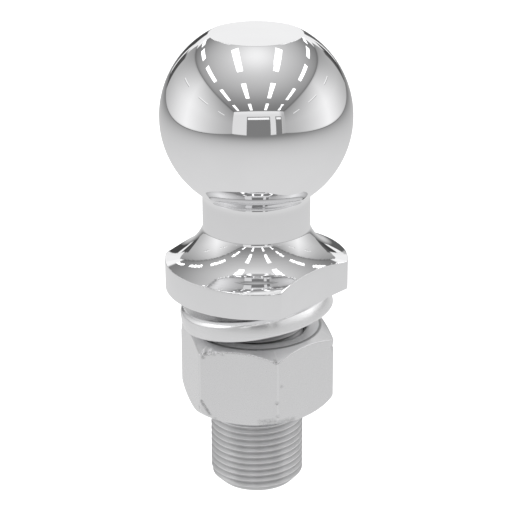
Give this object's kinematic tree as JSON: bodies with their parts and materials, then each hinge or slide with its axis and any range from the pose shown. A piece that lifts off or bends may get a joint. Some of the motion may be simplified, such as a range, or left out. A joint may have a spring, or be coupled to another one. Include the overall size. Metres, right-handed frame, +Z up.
{
  "type": "trailer hitch ball",
  "caption": "Hitch ball on a threaded shank with a flanged seat, a split lock washer and a hexagon nut that unscrews.",
  "frame": {"origin": "centre of the shank's flat end face, where the part stands", "axes": "+Z up along the shank and ball axis; the viewer of the catalogue view stands on the -Y side"},
  "size_m": [0.0508, 0.0508, 0.1272],
  "materials": {
    "chrome_ball": "mirror chrome plate, fine turning marks on the flange, satin thread",
    "zinc_washer": "satin bright zinc plate, rounded wire edges",
    "zinc_nut": "satin bright zinc plate with small forging nicks"
  },
  "bodies": {
    "ball_stud": {"hitch_ball": "chrome_ball"},
    "washer": {"lock_washer": "zinc_washer"},
    "nut": {"hex_nut": "zinc_nut"}
  },
  "joints": [
    {"name": "washer_slide", "type": "slide", "parent": "ball_stud", "child": "washer", "axis": [0, 0, 1], "range_m": [-0.0473, 0]},
    {"name": "nut_turn", "type": "hinge", "parent": "washer", "child": "nut", "pos_m": [0, 0, 0.0349], "axis": [0, 0, 1], "range_deg": [-9360, 0]}
  ],
  "couplings": [
    {"joint": "washer_slide", "follows": "nut_turn", "m_per_rad": 0.00028875}
  ]
}
